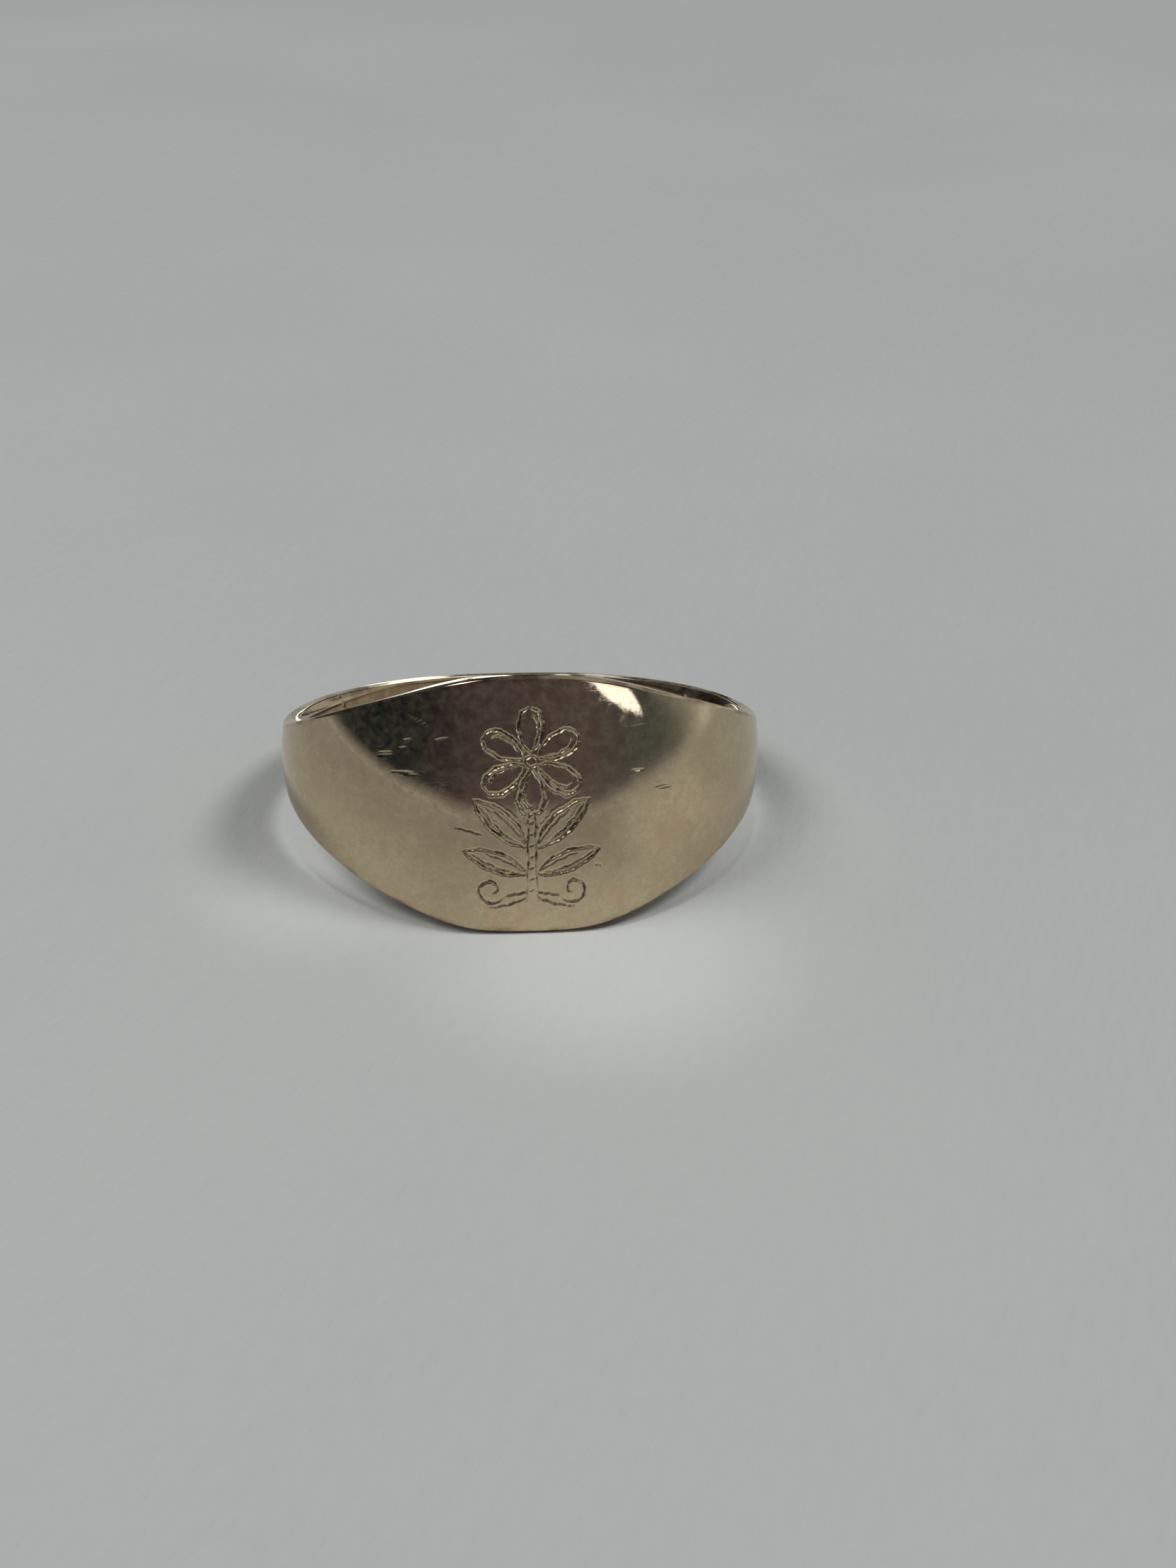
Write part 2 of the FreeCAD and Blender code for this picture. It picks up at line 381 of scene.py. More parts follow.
def profile(angle, heights, arc_steps=5):
    """Closed section outline at an angle, as radii and heights.

    heights are shares of the flat part of the outer face, from -1 to 1.
    """
    top = float(ring.half_width(angle))
    rim = float(ring.rim_radius(angle))
    crown = ring.bulge * top
    bend = (top ** 2 + crown ** 2) / (2 * crown)
    hub = rim + crown - bend
    shoulder = top - OUTER_EDGE
    lean = math.asin(shoulder / bend)
    face_z = heights * shoulder
    face_r = hub + np.sqrt(bend ** 2 - face_z ** 2)
    turns = np.linspace(lean, math.pi / 2, arc_steps + 1)[1:]
    edge_r = face_r[-1] - OUTER_EDGE * math.cos(lean) + OUTER_EDGE * np.cos(turns)
    edge_z = shoulder - OUTER_EDGE * math.sin(lean) + OUTER_EDGE * np.sin(turns)
    bevel = inner_edge(angle)
    inner_turns = np.linspace(math.pi / 2, math.pi, arc_steps + 3)
    inner_r = ring.bore + bevel + bevel * np.cos(inner_turns)
    inner_z = edge_z[-1] - bevel + bevel * np.sin(inner_turns)
    rim_r = np.linspace(edge_r[-1], inner_r[0], 5)[1:-1]
    rim_z = np.full(len(rim_r), edge_z[-1])
    bore_z = np.linspace(inner_z[-1], -inner_z[-1], 13)[1:-1]
    side_r = np.concatenate([edge_r, rim_r, inner_r])
    side_z = np.concatenate([edge_z, rim_z, inner_z])
    r = np.concatenate([face_r, side_r, np.full(len(bore_z), ring.bore), side_r[::-1]])
    z = np.concatenate([face_z, side_z, bore_z, -side_z[::-1]])
    return r, z


def tube_faces(rows, count):
    """Quads between neighbouring sections, and a cap at each end."""
    faces = []
    for i in range(rows - 1):
        for j in range(count):
            k = (j + 1) % count
            faces.append((i * count + j, (i + 1) * count + j, (i + 1) * count + k, i * count + k))
    last = (rows - 1) * count
    faces.append(tuple(range(count)))
    faces.append(tuple(last + j for j in reversed(range(count))))
    return faces


def sweep_piece(name, angles, heights, relief, sunk_bore=0.0):
    """A closed piece of the ring between the first and last angle.

    relief gives, from places round and along the ring, how far the outer face
    stands proud in mm and how deep a cut there is.  sunk_bore is how far the
    inside lies back from the bore.
    """
    sections = [profile(angle, heights) for angle in angles]
    radius = np.concatenate([r for r, z in sections])
    height = np.concatenate([z for r, z in sections])
    count = len(sections[0][0])
    angle = np.repeat(angles, count)
    across = angle * FACE_RADIUS
    outer = np.tile(np.arange(count) < len(heights), len(angles))
    proud = np.zeros(len(radius))
    depth = np.zeros(len(radius))
    proud[outer], depth[outer] = relief(across[outer], height[outer])
    inner = radius < ring.bore + ON_BORE
    proud[inner] = sunk_bore * (1.0 + 0.4 * np.sin(11.0 * height[inner]))
    points = ring.to_row(angle, radius + proud, height)
    mesh = bpy.data.meshes.new(name)
    mesh.from_pydata(points.tolist(), [], tube_faces(len(angles), count))
    mesh.validate()
    mesh.update()
    mesh.shade_smooth()
    mesh.set_sharp_from_angle(angle=math.radians(60))
    keep_vectors(mesh, "ring_mm", across, height, radius)
    keep_vectors(mesh, "wear_mm", depth, ring.half_width(angle) - np.abs(height), radius - ring.bore)
    piece = bpy.data.objects.new(name, mesh)
    bpy.context.scene.collection.objects.link(piece)
    return piece


def keep_vectors(mesh, name, *columns):
    """Store three values for each point, for the materials to read."""
    attribute = mesh.attributes.new(name, "FLOAT_VECTOR", "POINT")
    values = np.stack(columns, 1).astype(np.float32)
    attribute.data.foreach_set("vector", values.ravel())


def keep_values(mesh, name, values):
    """Store one value for each point, for the materials to read."""
    attribute = mesh.attributes.new(name, "FLOAT", "POINT")
    attribute.data.foreach_set("value", values.astype(np.float32))


def dip_at_ends(across, angles):
    """How far the face eases down towards a piece's two soldered ends."""
    ends = np.array([angles[0], angles[-1]]) * FACE_RADIUS
    gap = np.abs(across[:, None] - ends).min(1)
    return SEAM_DIP * np.exp(-(gap / SEAM_DIP_LENGTH) ** 2)


def plain_relief(angles):
    """Hand-finished face that eases down at the seams."""
    def relief(across, height):
        return waviness(across, height) - dip_at_ends(across, angles), np.zeros(len(across))
    return relief


def engraved_relief(angles):
    """Hand-finished face with the flower spray and a few nicks cut into it."""
    strokes = flower_spray() + nicks()

    def relief(across, height):
        depth, burr = groove_depth(across, height, strokes)
        return waviness(across, height) - dip_at_ends(across, angles) - depth + burr, depth
    return relief


def solder_relief(across, height):
    """A slightly sunken, uneven seam."""
    lumps = 0.006 * np.sin(9.0 * height + 1.0) * np.sin(21.0 * across) + 0.004 * np.sin(23.0 * height)
    return lumps - 1.4 * SEAM_DIP, np.zeros(len(across))


def head_angles():
    """Close stations under the engraving and wider ones along the shoulders."""
    first, last = end_angles("signet_head")
    fine = ENGRAVED / FACE_RADIUS
    middle = spread(-fine, fine, CUT_STATIONS / FACE_RADIUS)
    growth = np.cumsum(SHOULDER_STATIONS)
    growth = growth / growth[-1]
    right = fine + (last - fine) * growth
    left = -fine + (first + fine) * growth
    ease = SEAM_EASE / FACE_RADIUS
    return np.sort(np.concatenate([left, middle, right, first + ease, last - ease]))


def shank_angles():
    """Stations of the back strip, closer together at its soldered ends."""
    first, last = end_angles("back_shank")
    ease = SEAM_EASE / FACE_RADIUS
    middle = spread(first + 0.25 / FACE_RADIUS, last - 0.25 / FACE_RADIUS, math.radians(1.5))
    return np.concatenate([[first], first + ease, middle, last - ease[::-1], [last]])


def stand_for(piece, node):
    """Make a piece ride on the ring's body in place of a CAD node."""
    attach(piece, BODY)
    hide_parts(node)


def make_head():
    angles = head_angles()
    even = np.linspace(-1, 1, HEAD_POINTS)
    heights = even * (0.85 + 0.15 * even ** 2)
    head = sweep_piece("engraved_head", angles, heights, engraved_relief(angles))
    stand_for(head, "signet_head")
    return head


def make_shank():
    angles = shank_angles()
    shank = sweep_piece("back_strip", angles, np.linspace(-1, 1, 37), plain_relief(angles))
    stand_for(shank, "back_shank")
    return shank


def make_seam(side):
    node = f"solder_seam_{side}"
    angles = spread(*end_angles(node), math.radians(0.15))
    seam = sweep_piece(f"solder_{side}", angles, np.linspace(-1, 1, 61), solder_relief, 0.035)
    stand_for(seam, node)
    return seam


# ---------------------------------------------------------------- materials

PALE_GOLD = (0.660, 0.545, 0.352, 1.0)
DEEP_GOLD = (0.540, 0.440, 0.280, 1.0)
STRIP_PALE = (0.650, 0.545, 0.350, 1.0)      # the back strip's gold, a little different
STRIP_DEEP = (0.580, 0.475, 0.300, 1.0)
RUDDY_GOLD = (0.62, 0.44, 0.31, 1.0)
SPECKLED_GOLD = (0.53, 0.42, 0.29, 1.0)
CUT_GRIME = (0.085, 0.055, 0.040, 1.0)
RIM_STAIN = (0.20, 0.085, 0.050, 1.0)
# painted shade: the brown of the bore is partly a film and partly the ring's dim inside, painted into the
# colour
INSIDE_FILM_AND_SHADE = (0.36, 0.225, 0.125, 1.0)
PALE_SOLDER = (0.62, 0.55, 0.40, 1.0)
DULL_SOLDER = (0.40, 0.32, 0.22, 1.0)
SOLDER_PIT = (0.07, 0.05, 0.04, 1.0)
PAPER_GREY = (0.555, 0.575, 0.565, 1.0)
PAPER_WHITE = (0.60, 0.612, 0.600, 1.0)
SCRATCH_LAYERS = (       # direction in radians, length, width, rarity, shift of the pattern
    (0.35, 1.3, 0.030, 0.72, 3.0),
    (-0.5, 1.1, 0.028, 0.72, 11.0),
    (1.25, 0.8, 0.026, 0.74, 19.0),
    (0.05, 1.8, 0.032, 0.71, 35.0),
)

class Nodes:
    """A material's node tree, with short calls to add and join nodes."""

    def __init__(self, name):
        self.material = bpy.data.materials.new(name)
        self.material.use_nodes = True
        self.tree = self.material.node_tree
        self.shader = self.tree.nodes["Principled BSDF"]
        self.output = self.tree.nodes["Material Output"]

    def add(self, kind, **settings):
        node = self.tree.nodes.new(kind)
        for key, value in settings.items():
            setattr(node, key, value)
        return node

    def join(self, source, target):
        self.tree.links.new(source, target)

    def stored(self, name):
        """Three values stored on the mesh."""
        return self.add("ShaderNodeAttribute", attribute_name=name).outputs["Vector"]

    def feed(self, target, value):
        """Set an input, from a number, a tuple or another node's output."""
        if isinstance(value, bpy.types.NodeSocket):
            self.join(value, target)
        else:
            target.default_value = value

    def math(self, operation, first, second=0.0, third=0.0):
        node = self.add("ShaderNodeMath", operation=operation)
        for socket, value in zip(node.inputs, (first, second, third)):
            self.feed(socket, value)
        return node.outputs[0]

    def ramp(self, value, low, high, start=0.0, end=1.0):
        """Smooth step from start to end as value goes from low to high."""
        node = self.add("ShaderNodeMapRange", interpolation_type="SMOOTHSTEP")
        for name, item in (("Value", value), ("From Min", low), ("From Max", high), ("To Min", start),
                           ("To Max", end)):
            self.feed(node.inputs[name], item)
        return node.outputs[0]

    def mix(self, share, first, second):
        node = self.add("ShaderNodeMix", data_type="RGBA")
        for index, value in ((0, share), (6, first), (7, second)):
            self.feed(node.inputs[index], value)
        return node.outputs[2]

    def noise(self, place, scale, detail=3.0, roughness=0.55, distortion=0.0):
        node = self.add("ShaderNodeTexNoise")
        self.join(place, node.inputs["Vector"])
        for name, value in (("Scale", scale), ("Detail", detail), ("Roughness", roughness),
                            ("Distortion", distortion)):
            node.inputs[name].default_value = value
        return node.outputs["Fac"]

    def mapped(self, place, scale, turn=0.0, shift=0.0):
        """Coordinates turned about the face's normal and stretched."""
        node = self.add("ShaderNodeMapping", vector_type="TEXTURE")
        self.join(place, node.inputs["Vector"])
        node.inputs["Location"].default_value = (shift, shift * 1.7, 0.0)
        node.inputs["Rotation"].default_value = (0.0, 0.0, turn)
        node.inputs["Scale"].default_value = scale
        return node.outputs["Vector"]

    def bump(self, height):
        """Surface relief from a height in mm."""
        node = self.add("ShaderNodeBump")
        node.inputs["Strength"].default_value = 1.0
        node.inputs["Distance"].default_value = MM
        self.join(height, node.inputs["Height"])
        return node.outputs["Normal"]


def streaks(nodes, place, turn, length, width, rarity, shift):
    """Short fine scratches in one direction, as a 0 to 1 mask."""
    stretched = nodes.mapped(place, (length, width, 1.0), turn, shift)
    lines = nodes.noise(stretched, 1.0, detail=1.0, roughness=0.3)
    return nodes.ramp(lines, rarity, rarity + 0.06)


def scratches(nodes, place):
    """Fine wear scratches in several directions."""
    total = None
    for turn, length, width, rarity, shift in SCRATCH_LAYERS:
        mask = streaks(nodes, place, turn, length, width, rarity, shift)
        total = mask if total is None else nodes.math("MAXIMUM", total, mask)
    return total


def patina_colour(nodes, place, mottle, grain, light, deep):
    """Gold that goes from light to deep and ruddy in clouds, with fine speckles."""
    clouds = nodes.noise(place, 0.55, detail=4.0, roughness=0.6)
    patina = nodes.math("MULTIPLY_ADD", mottle, 0.60, nodes.math("MULTIPLY", clouds, 0.5))
    colour = nodes.mix(nodes.ramp(patina, 0.42, 0.70), light, deep)
    ruddy = nodes.ramp(nodes.noise(place, 0.9, detail=3.0, distortion=0.4), 0.46, 0.66, 0.0, 0.55)
    colour = nodes.mix(ruddy, colour, RUDDY_GOLD)
    return nodes.mix(nodes.ramp(grain, 0.42, 0.62, 0.0, 0.42), colour, SPECKLED_GOLD)


def grimy_cuts(nodes, place, colour, depth, dirt):
    """Dark grime caught here and there in the engraved cuts."""
    in_cut = nodes.ramp(depth, 0.010, 0.042)
    caught = nodes.ramp(nodes.noise(place, 2.6, detail=2.0), 0.42, 0.62, 0.25, 1.0)
    grime = nodes.math("MULTIPLY", nodes.math("MULTIPLY", in_cut, caught), dirt)
    return nodes.mix(grime, colour, CUT_GRIME)


def stained_rims(nodes, place, colour, rim_gap):
    """Reddish brown stains along the rims, in patches."""
    at_rim = nodes.ramp(rim_gap, 0.30, 0.05)
    blotch = nodes.ramp(nodes.noise(place, 0.7, detail=3.0), 0.48, 0.64, 0.12, 1.0)
    stain = nodes.math("MULTIPLY", nodes.math("MULTIPLY", at_rim, blotch), 0.75)
    return nodes.mix(stain, colour, RIM_STAIN)


def filmed_and_shaded_inside(nodes, place, colour, inside):
    """A brown, uneven film on the bore: partly grime, partly painted shade and reflection of the ring's
    dim inside.
    """
    film = nodes.ramp(nodes.noise(place, 1.4, detail=4.0), 0.35, 0.65, 0.45, 0.9)
    return nodes.mix(nodes.math("MULTIPLY", inside, film), colour, INSIDE_FILM_AND_SHADE)


def gold_roughness(nodes, mottle, marks, depth, inside, polish):
    """Polished gold, duller where mottled, scratched, cut or inside."""
    rough = nodes.math("ADD", nodes.ramp(mottle, 0.46, 0.70, 0.0, 0.10), polish)
    rough = nodes.math("MULTIPLY_ADD", marks, 0.07, rough)
    rough = nodes.math("MULTIPLY_ADD", nodes.ramp(depth, 0.001, 0.012), 0.24, rough)
    return nodes.math("MULTIPLY_ADD", inside, 0.12, rough)


def thin_haze(nodes, place, marks):
    """Share of the surface that is matt: a cloudy haze and the scratches."""
    film = nodes.noise(place, 2.3, detail=5.0, roughness=0.7, distortion=0.25)
    haze = nodes.ramp(film, 0.36, 0.74, 0.0, 0.100)
    return nodes.math("MULTIPLY_ADD", marks, 0.08, haze)


def gold_relief(nodes, mottle, grain, marks):
    """Height in mm of the scratches and of the fine unevenness."""
    relief = nodes.math("MULTIPLY", marks, -0.00012)
    relief = nodes.math("MULTIPLY_ADD", mottle, 0.0010, relief)
    return nodes.math("MULTIPLY_ADD", grain, 0.0002, relief)


def worn_gold(name, light, deep, polish, dirt):
    """Pale gold with patina, fine scratches, grime in the cuts and a dull inside."""
    nodes = Nodes(name)
    place = nodes.stored("ring_mm")
    parts = nodes.add("ShaderNodeSeparateXYZ")
    nodes.join(nodes.stored("wear_mm"), parts.inputs[0])
    depth, rim_gap, wall = parts.outputs
    mottle = nodes.noise(place, 3.2, detail=4.0, roughness=0.65)
    grain = nodes.noise(place, 11.0, detail=2.0)
    marks = scratches(nodes, place)
    inside = nodes.ramp(wall, 0.05, 0.0)

    colour = patina_colour(nodes, place, mottle, grain, light, deep)
    colour = grimy_cuts(nodes, place, colour, depth, dirt)
    colour = stained_rims(nodes, place, colour, rim_gap)
    colour = filmed_and_shaded_inside(nodes, place, colour, inside)
    matt = thin_haze(nodes, place, marks)

    nodes.feed(nodes.shader.inputs["Base Color"], colour)
    nodes.feed(nodes.shader.inputs["Metallic"], nodes.math("SUBTRACT", 1.0, matt))
    nodes.shader.inputs["Specular IOR Level"].default_value = 0.0
    rough = gold_roughness(nodes, mottle, marks, depth, inside, polish)
    nodes.feed(nodes.shader.inputs["Roughness"], rough)
    nodes.feed(nodes.shader.inputs["Normal"], nodes.bump(gold_relief(nodes, mottle, grain, marks)))
    return nodes.material


def solder_metal():
    """Paler, duller metal than the gold, with pits."""
    nodes = Nodes("pitted_solder")
    place = nodes.stored("ring_mm")
    pits = nodes.ramp(nodes.noise(place, 9.0, detail=2.0), 0.56, 0.66)
    cloud = nodes.noise(place, 4.0, detail=3.0)
    colour = nodes.mix(nodes.ramp(cloud, 0.35, 0.7), PALE_SOLDER, DULL_SOLDER)
    colour = nodes.mix(pits, colour, SOLDER_PIT)
    nodes.feed(nodes.shader.inputs["Base Color"], colour)
    nodes.shader.inputs["Metallic"].default_value = 1.0
    nodes.feed(nodes.shader.inputs["Roughness"], nodes.math("MULTIPLY_ADD", pits, 0.3, 0.26))
    relief = nodes.math("MULTIPLY_ADD", cloud, 0.012, nodes.math("MULTIPLY", pits, -0.010))
    nodes.feed(nodes.shader.inputs["Normal"], nodes.bump(relief))
    return nodes.material


def pale_paper():
    """Matt card with a faint tooth and slightly uneven whiteness."""
    nodes = Nodes("pale_paper")
    place = nodes.add("ShaderNodeTexCoord").outputs["Object"]
    fibres = nodes.noise(nodes.mapped(place, (1.0, 0.3, 1.0), 1.2), 900.0, detail=4.0)
    clouds = nodes.noise(place, 22.0, detail=3.0)
    tone = nodes.math("MULTIPLY_ADD", fibres, 0.35, nodes.math("MULTIPLY", clouds, 0.65))
    colour = nodes.mix(nodes.ramp(tone, 0.3, 0.7), PAPER_GREY, PAPER_WHITE)
    nodes.feed(nodes.shader.inputs["Base Color"], colour)
    nodes.shader.inputs["Roughness"].default_value = 1.0
    nodes.shader.inputs["Specular IOR Level"].default_value = 0.0
    nodes.feed(nodes.shader.inputs["Normal"], nodes.bump(nodes.math("MULTIPLY", fibres, 0.05)))
    return nodes.material


def glow(name):
    """Light given off in the colour stored on the mesh, fading where its cover fades."""
    nodes = Nodes(name)
    nodes.tree.nodes.remove(nodes.shader)
    tone = nodes.add("ShaderNodeAttribute", attribute_name="tone")
    cover = nodes.add("ShaderNodeAttribute", attribute_name="cover")
    light = nodes.add("ShaderNodeEmission")
    clear = nodes.add("ShaderNodeBsdfTransparent")
    blend = nodes.add("ShaderNodeMixShader")
    nodes.join(tone.outputs["Vector"], light.inputs["Color"])
    nodes.join(cover.outputs["Fac"], blend.inputs[0])
    nodes.join(clear.outputs[0], blend.inputs[1])
    nodes.join(light.outputs[0], blend.inputs[2])
    nodes.join(blend.outputs[0], nodes.output.inputs["Surface"])
    return nodes.material


# -------------------------------------------------------------------- stage
#
# What the ring mirrors is built as glowing panels that only reflections show.
# Azimuths are in degrees round the ring from its face, heights in mm above the
# bore's centre.  Spans name where a panel starts, is full, ebbs and ends.

FLOOR_SIZE = 3.0                # half of the floor's side, in metres

SCREEN_RADIUS = 60.0            # the dark screen in front, that the face mirrors
SCREEN_TOP = 31.0
SCREEN_SPAN = (-138.0, -120.0, 124.0, 138.0)
SCREEN_FOOT = (-0.8, 4.2)       # heights above the floor between which it fades in
FOOT_GLOW = 0.9                 # how much lighter it is at the floor
FOOT_GLOW_HEIGHT = 4.5          # height over which that dies away
LEAN = 1.2                      # degrees per mm that the tones on the right lean towards the face
LEAN_HEIGHT = 4.0               # height above which they lean
LEAN_AZIMUTH = 60.0             # azimuth beyond which they lean
SCREEN_TONES = (                # its colour by azimuth
    (-118, (0.040, 0.048, 0.054)),
    (-72, (0.008, 0.015, 0.020)),
    (-52, (0.014, 0.019, 0.026)),
    (-36, (0.034, 0.030, 0.042)),
    (-12, (0.062, 0.050, 0.066)),
    (14, (0.098, 0.084, 0.098)),
    (40, (0.076, 0.080, 0.092)),
    (62, (0.074, 0.090, 0.098)),
    (72, (0.110, 0.125, 0.125)),
    (80, (0.220, 0.240, 0.235)),
    (90, (0.42, 0.44, 0.42)),
    (130, (0.50, 0.52, 0.50)),
)

WINDOW_TONE = (2.10, 2.22, 2.50)
WINDOW_AZIMUTH = 14.0           # middle of the arch
ARCH_REACH = 41.0               # degrees from its middle to its foot
ARCH_FOOT = 9.0                 # height of its foot
ARCH_RISE = 16.5                # height of its top above the foot
SILL_HEIGHT = 25.2              # at the arch's middle
SILL_SLOPE = 0.362              # mm down per degree to the right

BACK_RADIUS = 110.0             # the screen behind, that the flat rims mirror
BACK_SPAN = (118.0, 130.0, 194.0, 206.0)
BACK_HEIGHT = 64.0              # from the floor to its top
BACK_FADE = (40.0, 62.0)        # heights above the floor between which it fades out
RAISED = (2.0, 4.0)             # heights between which the low tones turn into the raised ones
BACK_TONES = (                  # colour low behind the ring by azimuth, as the far rim mirrors it
    (170.5, (0.012, 0.012, 0.010)),
    (173.2, (0.030, 0.030, 0.024)),
    (173.8, (0.90, 1.00, 0.86)),
    (175.0, (0.90, 1.00, 0.86)),
    (175.6, (0.070, 0.092, 0.080)),
    (180.5, (0.070, 0.092, 0.080)),
    (181.1, (2.4, 2.4, 2.3)),
    (183.2, (2.4, 2.4, 2.3)),
    (183.6, (0.055, 0.065, 0.045)),
    (184.6, (0.055, 0.065, 0.045)),
    (185.6, (0.44, 0.50, 0.46)),
)
RAISED_TONES = (                # the same a little higher, as the near rim mirrors it
    (171.5, (0.26, 0.26, 0.26)),
    (173.2, (0.050, 0.050, 0.045)),
    (173.8, (0.90, 1.00, 0.86)),
    (175.0, (0.90, 1.00, 0.86)),
    (175.6, (0.070, 0.092, 0.080)),
    (178.6, (0.070, 0.092, 0.080)),
    (179.2, (2.4, 2.4, 2.3)),
    (182.6, (2.4, 2.4, 2.3)),
    (183.2, (0.110, 0.110, 0.090)),
    (186.0, (0.300, 0.330, 0.290)),
)

FAR_LAMPS = (                   # name, strength, apparent width in degrees, direction
    ("window_left", 0.54, 24.0, (-0.24, -0.03, 0.36)),
    ("window_right", 1.04, 18.0, (0.24, -0.05, 0.36)),
)
SOFTBOX_SIZE = 0.20
SOFTBOX_POWER = 0.45
SOFTBOX_PLACE = (-0.20, -0.20, 0.40)
SPILLS = (                      # name, power, cone in degrees, place
    ("spill_front", 0.046, 12.0, (0.0028, -0.0125, 0.08)),
    ("spill_left", 0.045, 7.5, (-0.0084, -0.0066, 0.08)),
    ("spill_right", 0.030, 7.0, (0.0098, -0.0022, 0.08)),
)

SURROUNDINGS = (0.60, 0.62, 0.62, 1)
SURROUNDINGS_STRENGTH = 0.21
BACKDROP = (0.37, 0.385, 0.38, 1)
ROOM_STOPS = (                  # colour of the mirrored room by the sine of the height angle
    (0.0, (0.07, 0.085, 0.07, 1)),
    (0.10, (0.05, 0.06, 0.05, 1)),
    (0.30, (0.10, 0.11, 0.10, 1)),
    (0.62, (0.42, 0.44, 0.42, 1)),
)
ROOM_SHADE = (                  # the room is dimmer to the left
    ("From Min", -0.05),
    ("From Max", 0.28),
    ("To Min", 0.14),
    ("To Max", 1.0),
)


def only_mirrored(thing):
    """Let a stage object be seen in reflections and nowhere else."""
    thing.visible_camera = False
    thing.visible_diffuse = False
    thing.visible_transmission = False
    thing.visible_volume_scatter = False
    thing.visible_shadow = False


def add_stage_mesh(name, points, faces, material):
    mesh = bpy.data.meshes.new(name)
    mesh.from_pydata(points, [], faces)
    mesh.materials.append(material)
    thing = bpy.data.objects.new(name, mesh)
    bpy.context.scene.collection.objects.link(thing)
    return thing


def make_floor(level):
    s = FLOOR_SIZE
    corners = [(-s, -s, level), (s, -s, level), (s, s, level), (-s, s, level)]
    return add_stage_mesh("floor", corners, [(0, 1, 2, 3)], pale_paper())


def grid_faces(rows, columns):
    """Quads of a grid of points."""
    corners = [i * columns + j for i in range(rows - 1) for j in range(columns - 1)]
    return [(k, k + 1, k + columns + 1, k + columns) for k in corners]


def at_azimuth(table, azimuth):
    """Colour channels at azimuths, from a table of azimuths and colours."""
    places = [place for place, colour in table]
    channels = np.array([colour for place, colour in table]).T
    return np.array([np.interp(azimuth, places, channel) for channel in channels])


def curved_panel(name, radius, azimuths, heights, tone, cover):
    """A panel on a cylinder round the ring; tone and cover are functions of azimuth and height."""
    azimuth, height = (grid.ravel() for grid in np.meshgrid(azimuths, heights))
    turn = np.radians(azimuth)
    points = np.stack([radius * np.sin(turn), -radius * np.cos(turn), height], 1) * MM
    faces = grid_faces(len(heights), len(azimuths))
    panel = add_stage_mesh(name, points.tolist(), faces, glow(name))
    keep_vectors(panel.data, "tone", *tone(azimuth, height))
    keep_values(panel.data, "cover", cover(azimuth, height))
    only_mirrored(panel)
    return panel


def make_screen(level):
    """The dark room in front of the ring, as its polished face mirrors it."""
    low = level / MM

    def tone(azimuth, height):
        lift = 1.0 + FOOT_GLOW * np.exp(-(height - low) / FOOT_GLOW_HEIGHT)
        lean = LEAN * np.maximum(height - LEAN_HEIGHT, 0.0) * (azimuth > LEAN_AZIMUTH)
        return at_azimuth(SCREEN_TONES, azimuth + lean) * lift

    def cover(azimuth, height):
        return rise(height - low, *SCREEN_FOOT) * between(azimuth, *SCREEN_SPAN)

    azimuths = np.arange(-138.0, 140.0, 2.0)
    heights = np.concatenate([np.linspace(low, low + 8, 17), np.linspace(low + 10, SCREEN_TOP, 12)])
    return curved_panel("dark_screen", SCREEN_RADIUS, azimuths, heights, tone, cover)


def make_window():
    """A bright window to the right, arched above and with its sill sloping down."""
    def tone(azimuth, height):
        return np.outer(WINDOW_TONE, np.ones(len(azimuth)))

    def cover(azimuth, height):
        across = azimuth - WINDOW_AZIMUTH
        sill = SILL_HEIGHT - across * SILL_SLOPE
        arch = 1.0 - (across / ARCH_REACH) ** 2 - ((height - ARCH_FOOT) / ARCH_RISE) ** 2
        return rise(height - sill, -0.4, 0.4) * rise(arch, -0.03, 0.03)

    return curved_panel("window", SCREEN_RADIUS - 1.0, np.arange(9.0, 57.0, 0.5),
                        np.arange(8.0, 27.0, 0.3), tone, cover)


def make_back_screen(level):
    """The room behind the ring, as the flat and rounded rims mirror it."""
    low = level / MM

    def tone(azimuth, height):
        raised = rise(height, *RAISED)
        levels = at_azimuth(BACK_TONES, azimuth) * (1.0 - raised)
        levels = levels + at_azimuth(RAISED_TONES, azimuth) * raised
        # The tones end at a height that grows to the left; the wall above them is dark on the left.
        top = 9.0 + 2.5 * np.clip(azimuth - 180.8, 0.0, 2.4)
        wall = 0.43 - 0.40 * rise(azimuth, 170.0, 178.0)
        return levels + (wall - levels) * rise(height, top, top + 1.5)

    def cover(azimuth, height):
        # Only the upper part reaches round to the right of the ring.
        foot = np.maximum(rise(azimuth, 152.0, 160.0), rise(height, 6.0, 11.0))
        return between(azimuth, *BACK_SPAN) * foot * (1.0 - rise(height - low, *BACK_FADE))

    return curved_panel("back_screen", BACK_RADIUS, np.arange(118.0, 206.5, 0.25),
                        np.arange(low, low + BACK_HEIGHT, 2.0), tone, cover)


def floor_patch(name, level, azimuths, radii, colour, cover):
    """Part of the paper that looks lighter or darker in the ring's polish only."""
    turn, radius = (grid.ravel() for grid in np.meshgrid(azimuths, radii))
    angle = np.radians(turn)
    height = np.full(len(turn), level / MM + 0.05)
    points = np.stack([radius * np.sin(angle), -radius * np.cos(angle), height], 1) * MM
    faces = grid_faces(len(radii), len(azimuths))
    patch = add_stage_mesh(name, points.tolist(), faces, glow(name))
    keep_vectors(patch.data, "tone", *np.outer(colour, np.ones(len(turn))))
    keep_values(patch.data, "cover", cover(turn, radius))
    only_mirrored(patch)
    return patch


